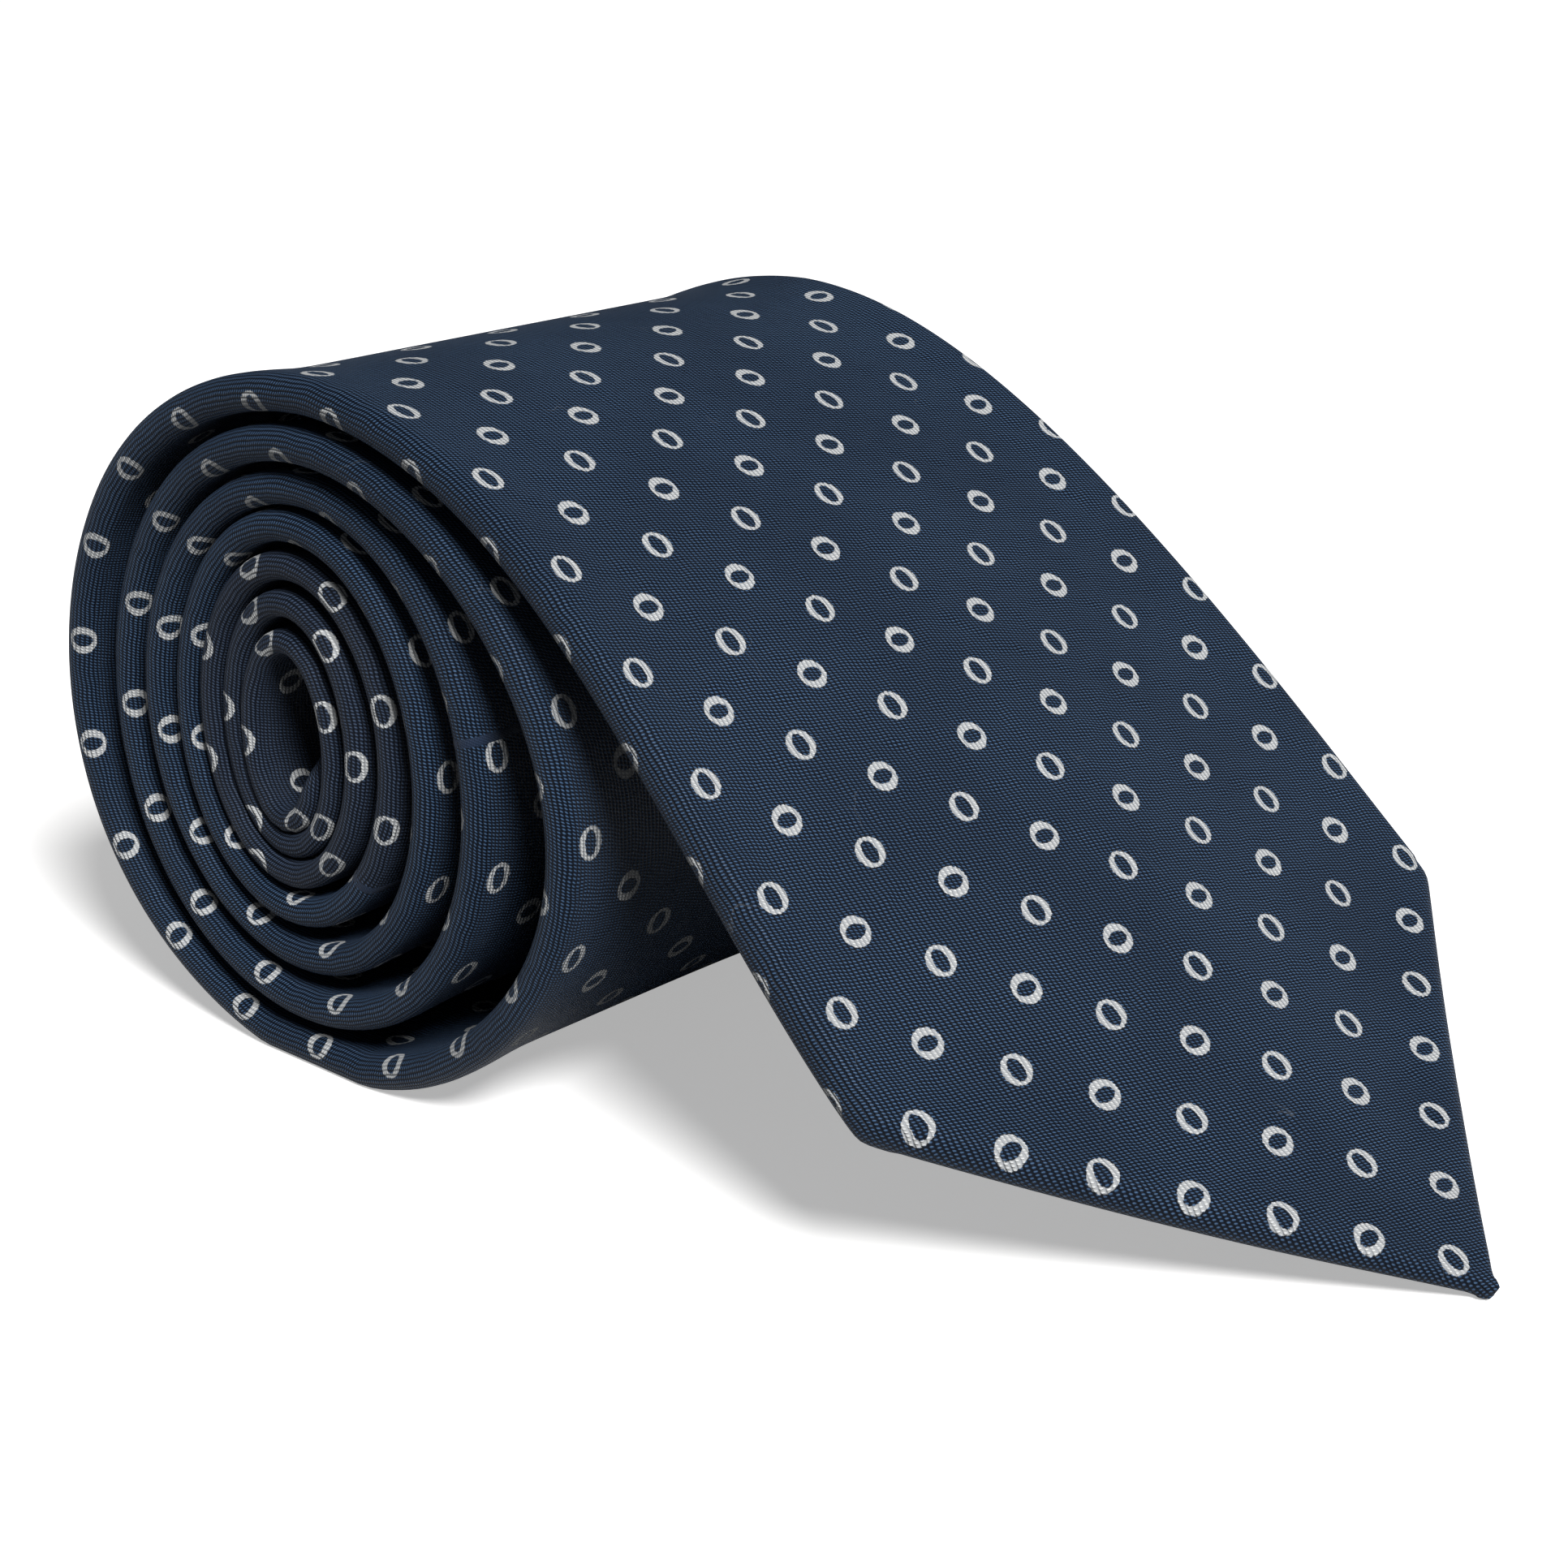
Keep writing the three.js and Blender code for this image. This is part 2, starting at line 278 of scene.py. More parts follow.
def smooth(value):
    value = np.clip(value, 0, 1)
    return value * value * (3 - 2 * value)


def softMin(a, b, reach):
    return (a + b - np.sqrt((a - b) ** 2 + reach * reach)) / 2


def unit(vectors):
    return vectors / np.maximum(np.linalg.norm(vectors, axis=-1, keepdims=True), 1e-12)


def rollPoint(turn):
    # oval turns, counted from the eye; the outer end is at the top
    shape = rollShape
    turn = np.asarray(turn, float)
    share = turn / shape["turns"]
    angle = (shape["turns"] - turn) * 2 * math.pi
    away = np.abs(shape["turns"] - shape["looseBulgeBelow"] - turn) / shape["looseBulgeReach"]
    bulge = shape["looseBulge"] * (1 + np.cos(math.pi * np.minimum(away, 1))) / 2
    bulge = np.where(away < 1, bulge, 0)
    across = shape["eyeHalfWidth"] + shape["pitchAcross"] * turn
    across = across + shape["looseAcross"] * turn ** 3 + bulge
    up = shape["eyeHalfHeight"] + shape["pitchUp"] * turn + shape["looseUp"] * turn ** 2
    rise = shape["innerRise"] * np.sin(math.pi * share) ** 2
    x = shape["eyeShift"] + shape["outerShift"] * share ** 2 - across * np.sin(angle)
    z = shape["rollMiddle"] + rise + up * np.cos(angle)
    return x, np.maximum(z, tie["bladeThickness"] / 2)


rollRadius = float(rollPoint(rollShape["turns"])[1]) - rollShape["rollMiddle"]


def freeSlope(distance, steepest):
    flattening = fallShape["tipFlattening"] * smooth(
        (distance - fallShape["flatteningStart"]) / fallShape["flatteningReach"]
    )
    reach = fallShape["leavingRadius"] * rollRadius * math.radians(steepest)
    return np.radians(steepest * (1 - np.exp(-distance / reach)) - flattening)


def fallLine(steepest, count=1601):
    distance = np.linspace(0, tie["freeLength"], count)
    slope = freeSlope(distance, steepest)
    step = distance[1]
    middle = (slope[1:] + slope[:-1]) / 2
    x = np.concatenate([[0], np.cumsum(np.cos(middle) * step)])
    drop = np.concatenate([[0], np.cumsum(np.sin(middle) * step)])
    topX, topZ = rollPoint(rollShape["turns"])
    return distance, topX + x, topZ - drop


def settledFall(halvings=40):
    # the slope at which the blade's tip comes to rest on the table
    shallow, steep = fallShape["slopeLimits"]
    wanted = tie["bladeThickness"] / 2 + fallShape["tipLift"]
    for _ in range(halvings):
        middle = (shallow + steep) / 2
        distance, x, z = fallLine(middle)
        tipHeight = np.interp(tie["freeLength"] - fallShape["restingStart"], distance, z)
        if tipHeight > wanted:
            shallow = middle
        else:
            steep = middle
    return (shallow + steep) / 2


def rollLengths():
    # the same chords as the frame's facets, so that a place along the tie is the same in both
    shape = rollShape
    count = int(shape["turns"] * shape["stepsPerTurn"])
    turns = shape["turns"] - (np.arange(count) + 0.5) / shape["stepsPerTurn"]
    turns = np.concatenate([[shape["turns"]], turns])
    x, z = rollPoint(turns)
    chords = np.hypot(np.diff(x), np.diff(z))
    return turns, tie["freeLength"] + np.concatenate([[0], np.cumsum(chords)])


steepestFall = settledFall()
fallDistance, fallX, fallZ = fallLine(steepestFall)
turnTable, lengthTable = rollLengths()
tieLength = lengthTable[-1]
thinningStart = tie["freeLength"] + 2 * math.pi * rollRadius
print("tie length %.0f mm, steepest fall %.1f degrees" % (tieLength, steepestFall))


def turnAt(s):
    return np.interp(s, lengthTable, turnTable)


def linePoint(s, nudge=1e-4):
    # middle of the cloth, and the direction out of the roll
    s = np.asarray(s, float)
    onRoll = s > tie["freeLength"]
    away = np.clip(tie["freeLength"] - s, 0, None)
    slope = freeSlope(away, steepestFall)
    turn = turnAt(s)
    rollX, rollZ = rollPoint(turn)
    aheadX, aheadZ = rollPoint(turn + nudge)
    backX, backZ = rollPoint(turn - nudge)
    alongX, alongZ = aheadX - backX, aheadZ - backZ
    size = np.hypot(alongX, alongZ)
    x = np.where(onRoll, rollX, np.interp(away, fallDistance, fallX))
    z = np.where(onRoll, rollZ, np.interp(away, fallDistance, fallZ))
    outX = np.where(onRoll, -alongZ / size, np.sin(slope))
    outZ = np.where(onRoll, alongX / size, np.cos(slope))
    return x, z, outX, outZ


def edgesAt(s):
    # where the near and the far edge lie; the near one runs straight through every turn
    s = np.asarray(s, float)
    corner = tie["bladeWidth"] / 2
    share = np.clip((s - corner) / (tie["bladeTaperEnd"] - corner), 0, 1) ** tie["taperPower"]
    width = tie["bladeWidth"] + (tie["neckWidth"] - tie["bladeWidth"]) * share
    tailCorner = tieLength - tie["tailWidth"] / 2
    widening = np.clip((s - tie["tailTaperStart"]) / (tailCorner - tie["tailTaperStart"]), 0, 1)
    width = width + (tie["tailWidth"] - tie["neckWidth"]) * widening
    fromTop = np.clip(s - tie["freeLength"], 0, None)
    turnsIn = rollShape["turns"] * fromTop / (tieLength - tie["freeLength"])
    nearEdge = rollShape["edgeRecess"] * turnsIn - corner
    near = -softMin(s - tie["tipSkew"], -nearEdge, tie["cornerSoftness"])
    far = softMin(s + tie["tipSkew"], nearEdge + width, tie["cornerSoftness"])
    tailMiddle = nearEdge + tie["tailWidth"] / 2
    fromTail = tieLength - s + tie["tailTipHalf"]
    near = -softMin(-near, fromTail - tailMiddle, tie["tailCornerSoftness"])
    far = softMin(far, fromTail + tailMiddle, tie["tailCornerSoftness"])
    return near, far


def halfWidth(s):
    near, far = edgesAt(s)
    smallest = tie["tipHalfWidth"] * np.sqrt(np.clip(s, 0, 1) + tie["tipBluntness"])
    return np.maximum((far - near) / 2, smallest)


def middleLine(s):
    near, far = edgesAt(s)
    return (near + far) / 2


def clothThickness(s):
    thinning = np.clip((s - thinningStart) / (tieLength - thinningStart), 0, 1)
    return tie["bladeThickness"] + (tie["tailThickness"] - tie["bladeThickness"]) * thinning


def pointOpening(fromTip, corner, hem, seamStart):
    # half of the gap at the back of one point, from its tip to where the seam begins
    slit = tie["slit"]
    widest = corner - hem
    closing = np.clip((fromTip - corner) / (seamStart - corner), 0, 1)
    return np.where(fromTip < corner, np.clip(fromTip - hem, slit, None),
                    widest + (slit - widest) * closing)


def openingHalf(s):
    # a closed seam, opening over the tipping at each point
    blade = pointOpening(s, tie["bladeWidth"] / 2, tie["hemWidth"], tie["seamStart"])
    tail = pointOpening(tieLength - s, tie["tailWidth"] / 2, tie["hemWidth"] / 2,
                        tie["tailSeamLength"])
    return np.maximum(np.maximum(blade, tail), tie["slit"])


def sagAt(s, y):
    start = fallShape["sagFrom"]
    side = np.clip((start - y) / (start + tie["bladeWidth"] / 2), 0, None)
    along = smooth((fallShape["sagEnd"] - s) / fallShape["sagReach"])
    return -fallShape["cornerSag"] * along * side ** fallShape["sagPower"]


def place(s, y, n):
    # from tie measures to metres in the frame; s, y and n have one shape
    x, z, outX, outZ = linePoint(s)
    height = n + sagAt(s, y)
    points = np.stack([x + outX * height, y, z + outZ * height], axis=-1)
    points[..., 2] = np.maximum(points[..., 2], 0.0)
    return points * mm


# Meshes of cloth, with a UV map that gives the place across and along the tie in metres

def clothPiece(name, points, faces, coordinates, material):
    mesh = bpy.data.meshes.new(name)
    mesh.from_pydata(points.reshape(-1, 3).tolist(), [], faces)
    mesh.polygons.foreach_set("use_smooth", [True] * len(mesh.polygons))
    layer = mesh.uv_layers.new(name="clothUV")
    loops = np.empty(len(mesh.loops), int)
    mesh.loops.foreach_get("vertex_index", loops)
    layer.data.foreach_set("uv", coordinates.reshape(-1, 2)[loops].ravel())
    mesh.materials.append(material)
    piece = bpy.data.objects.new(name, mesh)
    scene.collection.objects.link(piece)
    return piece


def gridMesh(name, points, normals, coordinates, material):
    # one skin over a grid of points
    rows, columns = points.shape[:2]
    index = np.arange(rows * columns).reshape(rows, columns)
    corners = [index[:-1, :-1], index[:-1, 1:], index[1:, 1:], index[1:, :-1]]
    faces = np.stack(corners, axis=-1).reshape(-1, 4).tolist()
    piece = clothPiece(name, points, faces, coordinates, material)
    piece.data.normals_split_custom_set_from_vertices(normals.reshape(-1, 3).tolist())
    return piece


def gridNormals(points):
    return unit(np.cross(np.gradient(points, axis=1), np.gradient(points, axis=0)))


def ringMesh(name, points, coordinates, material, sharp=40):
    # a closed skin through rings of points, with a cap at each end
    rows, columns = points.shape[:2]
    index = np.arange(rows * columns).reshape(rows, columns)
    after = np.roll(index, -1, axis=1)
    corners = [index[:-1], after[:-1], after[1:], index[1:]]
    faces = np.stack(corners, axis=-1).reshape(-1, 4).tolist()
    faces += [index[0][::-1].tolist(), index[-1].tolist()]
    piece = clothPiece(name, points, faces, coordinates, material)
    piece.data.set_sharp_from_angle(angle=math.radians(sharp))
    return piece


# Shared effects, as shader node groups

def newGroup(name, inputs, outputs):
    group = bpy.data.node_groups.new(name, "ShaderNodeTree")
    for label, kind, value in inputs:
        socket = group.interface.new_socket(label, in_out="INPUT", socket_type=kind)
        if value is not None:
            socket.default_value = value
    for label in outputs:
        group.interface.new_socket(label, in_out="OUTPUT", socket_type="NodeSocketFloat")
    return group, group.nodes.new("NodeGroupInput"), group.nodes.new("NodeGroupOutput")


weave = {
    "rib": 0.58,  # this and the thread are in millimetres
    "thread": 0.40,
    "stagger": 0.4,
    "slubScale": 260,
    "slubShift": 0.5,
    "slant": 0.85,
    "dotWidth": 0.34,
    "dotLength": 0.52,
    "dotEdge": (0.35, 1.05),
    "ribEdge": (0.15, 0.5),
    "grooveEdge": (0.24, 0.48),
    "ribHeight": 0.65,
    "dotHeight": 0.35,
}


def makeTwillGroup(look):
    group, start, end = newGroup(
        "twillWeave",
        [
            ("Cloth", "NodeSocketVector", None),
            ("Rib", "NodeSocketFloat", look["rib"] * mm),
            ("Thread", "NodeSocketFloat", look["thread"] * mm),
            ("Stagger", "NodeSocketFloat", look["stagger"]),
        ],
        ["Dots", "Groove", "Height"],
    )
    w = Wiring(group)
    slub = w.noise(start.outputs["Cloth"], look["slubScale"], 1)
    parts = w.node("ShaderNodeSeparateXYZ")
    w.link(start.outputs["Cloth"], parts.inputs[0])
    drift = w.math("SUBTRACT", slub.outputs[0], 0.5)
    drift = w.math("MULTIPLY", drift, look["slubShift"] * mm)
    u = w.math("DIVIDE", w.math("ADD", parts.outputs[0], drift), start.outputs["Rib"])
    row = w.math("FLOOR", u)
    fromRib = w.math("SUBTRACT", w.math("SUBTRACT", u, row), 0.5)
    v = w.math("DIVIDE", w.math("ADD", parts.outputs[1], drift), start.outputs["Thread"])
    v = w.math("ADD", v, w.math("MULTIPLY", row, start.outputs["Stagger"]))
    fromThread = w.math("SUBTRACT", w.math("FRACT", v), 0.5)
    lean = w.math("ADD", fromRib, w.math("MULTIPLY", fromThread, look["slant"]))
    far = w.length(w.math("DIVIDE", lean, look["dotWidth"]),
                   w.math("DIVIDE", fromThread, look["dotLength"]))
    dots = w.ramp(far, *look["dotEdge"], 1.0, 0.0)
    ribSide = w.math("ABSOLUTE", fromRib)
    rib = w.ramp(ribSide, *look["ribEdge"], 1.0, 0.0)
    height = w.math("ADD", w.math("MULTIPLY", rib, look["ribHeight"]),
                    w.math("MULTIPLY", dots, look["dotHeight"]))
    w.link(dots, end.inputs["Dots"])
    w.link(w.ramp(ribSide, *look["grooveEdge"]), end.inputs["Groove"])
    w.link(height, end.inputs["Height"])
    return group


ringPrint = {
    "across": 14.504,  # spacing and radius in millimetres
    "along": 14.21,
    "radius": 1.88,
    "fray": 0.16,
    "frayScale": 2600,
    "tallHole": (0.5, 0.77),  # as shares of the radius, across and along
    "wideHole": (0.71, 0.47),
    "holeFray": 1.6,
    "discEdge": (0.95, 1.03),
    "holeEdge": (0.93, 1.07),
}


def makeRingGroup(look):
    group, start, end = newGroup(
        "ringPrint",
        [
            ("Cloth", "NodeSocketVector", None),
            ("Across", "NodeSocketFloat", look["across"] * mm),
            ("Along", "NodeSocketFloat", look["along"] * mm),
            ("Shift Across", "NodeSocketFloat", 0.0),
            ("Shift Along", "NodeSocketFloat", 0.0),
            ("Radius", "NodeSocketFloat", look["radius"] * mm),
            ("Roughness", "NodeSocketFloat", look["fray"]),
        ],
        ["Print"],
    )
    w = Wiring(group)
    parts = w.node("ShaderNodeSeparateXYZ")
    w.link(start.outputs["Cloth"], parts.inputs[0])
    fray = w.noise(start.outputs["Cloth"], look["frayScale"], 1)
    rough = w.math("SUBTRACT", fray.outputs[0], 0.5)
    rough = w.math("MULTIPLY", rough, start.outputs["Roughness"])

    def fromCentre(part, pitch, shift, offset):
        # distance to the nearest ring's middle, in ring radii
        pitch = start.outputs[pitch]
        cell = w.math("SUBTRACT", parts.outputs[part], start.outputs[shift])
        cell = w.math("ADD", w.math("DIVIDE", cell, pitch), 0.5 + offset)
        cell = w.math("SUBTRACT", w.math("FRACT", cell), 0.5)
        return w.math("MULTIPLY", cell, w.math("DIVIDE", pitch, start.outputs["Radius"]))

    def ring(offset, hole):
        across = fromCentre(0, "Across", "Shift Across", offset)
        along = fromCentre(1, "Along", "Shift Along", offset)
        outer = w.length(across, along)
        inner = w.length(w.math("DIVIDE", across, hole[0]), w.math("DIVIDE", along, hole[1]))
        inner = w.math("ADD", inner, w.math("MULTIPLY", rough, look["holeFray"]))
        disc = w.ramp(w.math("ADD", outer, rough), *look["discEdge"], 1.0, 0.0)
        return w.math("MULTIPLY", disc, w.ramp(inner, *look["holeEdge"]))

    # two lattices, half a cell apart
    printed = w.math("MAXIMUM", ring(0.0, look["tallHole"]), ring(0.5, look["wideHole"]))
    w.link(printed, end.inputs["Print"])
    return group


clothShade = {
    "broadScale": 45,
    "broadEdge": (0.3, 0.7),
    "bendScale": 130,
    "bend": (0.012, 0.012, 0),
    "fibreScale": 60,
    "fibreWidth": 0.006,
    "rareScale": 95,
    "rareEdge": (0.66, 0.72),
    "lint": 0.5,
}


def makeShadeGroup(look):
    # slow changes of shade, and the odd fibre of lint
    group, start, end = newGroup(
        "clothShade",
        [("Cloth", "NodeSocketVector", None), ("Lint", "NodeSocketFloat", look["lint"])],
        ["Shade", "Fibres"],
    )
    w = Wiring(group)
    cloth = start.outputs["Cloth"]
    broad = w.noise(cloth, look["broadScale"], 3)
    w.link(w.ramp(broad.outputs[0], *look["broadEdge"]), end.inputs["Shade"])
    bend = w.noise(cloth, look["bendScale"])
    moved = w.node("ShaderNodeVectorMath", operation="MULTIPLY_ADD")
    w.link(bend.outputs["Color"], moved.inputs[0])
    moved.inputs[1].default_value = look["bend"]
    w.link(cloth, moved.inputs[2])
    cells = w.node("ShaderNodeTexVoronoi", voronoi_dimensions="2D", feature="DISTANCE_TO_EDGE")
    cells.inputs["Scale"].default_value = look["fibreScale"]
    w.link(moved.outputs[0], cells.inputs["Vector"])
    rare = w.noise(cloth, look["rareScale"])
    line = w.ramp(cells.outputs["Distance"], 0.0, look["fibreWidth"], 1.0, 0.0)
    chosen = w.ramp(rare.outputs[0], *look["rareEdge"])
    fibres = w.math("MULTIPLY", w.math("MULTIPLY", line, chosen), start.outputs["Lint"])
    w.link(fibres, end.inputs["Fibres"])
    return group


twillGroup = makeTwillGroup(weave)
ringGroup = makeRingGroup(ringPrint)
shadeGroup = makeShadeGroup(clothShade)


def clothMaterial(name):
    material = bpy.data.materials.new(name)
    material.use_nodes = True
    w = Wiring(material.node_tree)
    coordinate = w.node("ShaderNodeUVMap", uv_map="clothUV")
    return material, w, material.node_tree.nodes["Principled BSDF"], coordinate.outputs[0]


def useGroup(w, group, cloth, **values):
    made = w.node("ShaderNodeGroup", node_tree=group)
    w.link(cloth, made.inputs["Cloth"])
    for label, value in values.items():
        made.inputs[label.replace("_", " ")].default_value = value
    return made


def addBump(w, shader, height, depth):
    bump = w.node("ShaderNodeBump")
    bump.inputs["Distance"].default_value = depth * mm
    w.link(height, bump.inputs["Height"])
    w.link(bump.outputs[0], shader.inputs["Normal"])


silkLook = {
    "ground": (0.0019, 0.0052, 0.0135, 1),
    "thread": (0.0560, 0.1120, 0.2100, 1),
    "tailGround": (0.0050, 0.0080, 0.0160, 1),
    "tailThread": (0.0500, 0.0780, 0.1350, 1),
    # painted shade: a darker colour laid into the grooves between the twill's ribs
    "grooveShade": (0.0010, 0.0024, 0.0055, 1),
    "grooveShadeShare": 0.92,
    "shadeShare": 0.22,
    "print": (0.63, 0.65, 0.66),
    "printDimming": 0.62,  # between the threads
    # painted shade: the print is greyed in the grooves between the ribs
    "printGrooveShade": (0.25, 0.28, 0.33, 1),
    "printGrooveShadeShare": 0.4,
    "lint": (0.35, 0.37, 0.40, 1),
    "lintAmount": 0.10,
    "ringShift": (0.51, 5.3),  # millimetres, across and along
    "tailRingShift": (-2.6, 7.7),
    "roughness": 0.58,
    "threadRoughness": -0.12,
    "printRoughness": 0.2,
    "grooveDepth": 0.20,
    "specular": 0.14,
    "sheen": 0.02,
    "sheenRoughness": 0.35,
    "sheenTint": (0.55, 0.68, 1.0, 1),
}


def printedSilk(name, ground, thread, ringShift):
    look = silkLook
    material, w, shader, cloth = clothMaterial(name)
    twill = useGroup(w, twillGroup, cloth)
    rings = useGroup(w, ringGroup, cloth, Shift_Across=ringShift[0] * mm,
                     Shift_Along=ringShift[1] * mm)
    shade = useGroup(w, shadeGroup, cloth, Lint=look["lintAmount"])
    dots, grooveShade = twill.outputs["Dots"], twill.outputs["Groove"]
    woven = w.mix(dots, ground, thread)
    # painted shade darkens the silk in the grooves between the ribs
    woven = w.mix(w.math("MULTIPLY", grooveShade, look["grooveShadeShare"]), woven, look["grooveShade"])
    shading = w.math("MULTIPLY", shade.outputs["Shade"], look["shadeShare"])
    woven = w.mix(shading, woven, ground)
    dimmed = tuple(value * look["printDimming"] for value in look["print"])
    printed = w.mix(dots, (*dimmed, 1), (*look["print"], 1))
    # painted shade greys the print in the grooves between the ribs
    printGrooveShade = w.math("MULTIPLY", grooveShade, look["printGrooveShadeShare"])
    printed = w.mix(printGrooveShade, printed, look["printGrooveShade"])
    colour = w.mix(rings.outputs["Print"], woven, printed)
    colour = w.mix(shade.outputs["Fibres"], colour, look["lint"])
    w.link(colour, shader.inputs["Base Color"])
    rough = w.math("ADD", w.math("MULTIPLY", dots, look["threadRoughness"]), look["roughness"])
    onPrint = w.math("MULTIPLY", rings.outputs["Print"], look["printRoughness"])
    w.link(w.math("ADD", rough, onPrint), shader.inputs["Roughness"])
    addBump(w, shader, twill.outputs["Height"], look["grooveDepth"])
    shader.inputs["Specular IOR Level"].default_value = look["specular"]
    shader.inputs["Sheen Weight"].default_value = look["sheen"]
    shader.inputs["Sheen Roughness"].default_value = look["sheenRoughness"]
    shader.inputs["Sheen Tint"].default_value = look["sheenTint"]
    return material


# low and high are the colours between and on the threads; rib, thread and depth in millimetres
plainLook = {
    "liningSatin": {
        "low": (0.006, 0.011, 0.028, 1), "high": (0.016, 0.026, 0.058, 1),
        "rib": 0.24, "thread": 0.3, "roughness": 0.36, "depth": 0.02, "sheen": 0.03,
    },
    "woolFelt": {
        "low": (0.42, 0.38, 0.31, 1), "high": (0.66, 0.61, 0.51, 1),
        "rib": 0.9, "thread": 1.1, "roughness": 0.92, "depth": 0.25, "sheen": 0.4,
    },
    "seamThread": {
        "low": (0.006, 0.014, 0.034, 1), "high": (0.022, 0.042, 0.085, 1),
        "rib": 0.2, "thread": 0.3, "roughness": 0.55, "depth": 0.05, "sheen": 0.03,
    },
    "labelSatin": {
        "low": (0.008, 0.014, 0.036, 1), "high": (0.030, 0.048, 0.092, 1),
        "rib": 0.3, "thread": 0.25, "roughness": 0.45, "depth": 0.03, "sheen": 0.03,
    },
    "careRibbon": {
        "low": (0.60, 0.58, 0.54, 1), "high": (0.78, 0.76, 0.72, 1),
        "rib": 0.22, "thread": 0.22, "roughness": 0.5, "depth": 0.02, "sheen": 0.03,
    },
}

plainShared = {
    "lint": 0.2,
    "shadeShare": 0.35,
    "roughnessSpread": 0.05,
    "specular": 0.2,
}


def plainCloth(name, look):
    material, w, shader, cloth = clothMaterial(name)
    twill = useGroup(w, twillGroup, cloth, Rib=look["rib"] * mm, Thread=look["thread"] * mm)
    shade = useGroup(w, shadeGroup, cloth, Lint=plainShared["lint"])
    woven = w.mix(twill.outputs["Dots"], look["low"], look["high"])
    shading = w.math("MULTIPLY", shade.outputs["Shade"], plainShared["shadeShare"])
    w.link(w.mix(shading, woven, look["low"]), shader.inputs["Base Color"])
    middle, spread = look["roughness"], plainShared["roughnessSpread"]
    rough = w.ramp(shade.outputs["Shade"], 0, 1, middle - spread, middle + spread)
    w.link(rough, shader.inputs["Roughness"])
    addBump(w, shader, twill.outputs["Height"], look["depth"])
    shader.inputs["Specular IOR Level"].default_value = plainShared["specular"]
    shader.inputs["Sheen Weight"].default_value = look["sheen"]
    return material


bladeSilk = printedSilk("bladeSilk", silkLook["ground"], silkLook["thread"],
                        silkLook["ringShift"])
neckSilk = printedSilk("neckSilk", silkLook["ground"], silkLook["thread"],
                       silkLook["ringShift"])
tailSilk = printedSilk("tailSilk", silkLook["tailGround"], silkLook["tailThread"],
                       silkLook["tailRingShift"])
cloths = {name: plainCloth(name, look) for name, look in plainLook.items()}
print("cloths ready")


# Silk: one continuous surface folded round the interlining, cut into its sewn pieces

silkFold = {
    "faceInset": 0.2,  # the silk is that much thinner than the frame's solid
    "edgeThickness": 4.6,  # the folded edges are puffed
    "eyeEdge": 2.7,  # but pressed thin in the inner turns
    "tipPress": (0.55, 22.0),  # share of the thickness left at the tip, and how far it reaches
    "tailPress": (0.6, 12.0),
    "puffReach": 6.0,
    "pointStretch": 0.35,
    "foldLimit": 0.8,
    "openingLimit": 0.95,
    "turnedIn": 6.0,
    "leastTurnedIn": 0.5,
    "curl": 0.42,
    "curlLimit": 0.45,
    "evenness": 0.55,  # the rest of the spacing is closer towards the folds
    "frontSteps": 34,
    "foldSteps": 14,
    "backSteps": 12,
    "curlSteps": 4,
    "tipEnd": 3.0,
    "tipStep": 0.25,
    "pointEnd": 60.0,
    "pointStep": 0.8,
    "pastTop": 20.0,
    "freeStep": 1.0,
    "rolledStep": 1.5,
    "tailGap": 0.2,
}


def pressed(distance, share, reach):
    return share + (1 - share) * smooth(distance / reach)


def edgeThickness(s):
    turn = turnAt(np.maximum(s, tie["freeLength"]))
    inside = np.clip(turn / rollShape["turns"], 0, 1)
    rolled = silkFold["eyeEdge"] + (silkFold["edgeThickness"] - silkFold["eyeEdge"]) * inside
    tip = pressed(s, *silkFold["tipPress"])
    return rolled * tip * pressed(tieLength - s, *silkFold["tailPress"])


def foldSection(s):
    # y, n and the distance across the cloth, at one place along the tie
    fold = silkFold
    half = float(halfWidth(s))
    edge = float(edgeThickness(s))
    thick = min(float(clothThickness(s)) - fold["faceInset"], edge)
    radius = edge / 2
    onPoint = s < tie["bladeWidth"] / 2 or s > tieLength - tie["tailWidth"] / 2
    stretch = 1 + fold["pointStretch"] if onPoint else 1
    reach = min(radius * stretch, half * fold["foldLimit"])
    flat = half - reach

    def surface(y):
        fromFold = np.clip(flat - np.abs(y), 0, None)
        puff = np.exp(-((fromFold / fold["puffReach"]) ** 2))
        return (thick + (edge - thick) * puff) / 2

    opening = min(float(openingHalf(s)), flat * fold["openingLimit"])
    across = np.linspace(-1, 1, fold["frontSteps"] + 1)
    even = fold["evenness"]
    front = flat * (even * across + (1 - even) * np.sin(across * math.pi / 2))
    turnIn = min(fold["turnedIn"], max(flat - opening, fold["leastTurnedIn"]))
    curl = min(fold["curl"], radius * fold["curlLimit"])
    angles = np.linspace(0, math.pi, fold["foldSteps"] + 1)[1:-1]
    back = np.linspace(flat, opening, fold["backSteps"] + 1)
    floor = float(surface(np.array([opening]))[0])
    curlAngles = np.linspace(0, math.pi, fold["curlSteps"] + 1)[1:]
    # from left to right over the front, round the right fold, and back to the turned edge
    rightY = np.concatenate([
        front, flat + reach * np.sin(angles), back,
        opening - curl * np.sin(curlAngles), [opening + turnIn / 2, opening + turnIn],
    ])
    rightN = np.concatenate([
        surface(front), radius * np.cos(angles), -surface(back),
        -floor + curl * (1 - np.cos(curlAngles)), [-floor + 2 * curl] * 2,
    ])
    # the left side mirrors the right beyond the front
    beyond = slice(len(front), None)
    allY = np.concatenate([-rightY[beyond][::-1], rightY])
    allN = np.concatenate([rightN[beyond][::-1], rightN])
    steps = np.hypot(np.diff(allY), np.diff(allN))
    along = np.concatenate([[0], np.cumsum(steps)])
    first = len(rightY) - len(front)
    onFront = slice(first, first + len(front))
    return allY, allN, along - np.interp(0, allY[onFront], along[onFront])


def sections(s):
    columns = zip(*[foldSection(value) for value in s])
    return [np.array(column) for column in columns]


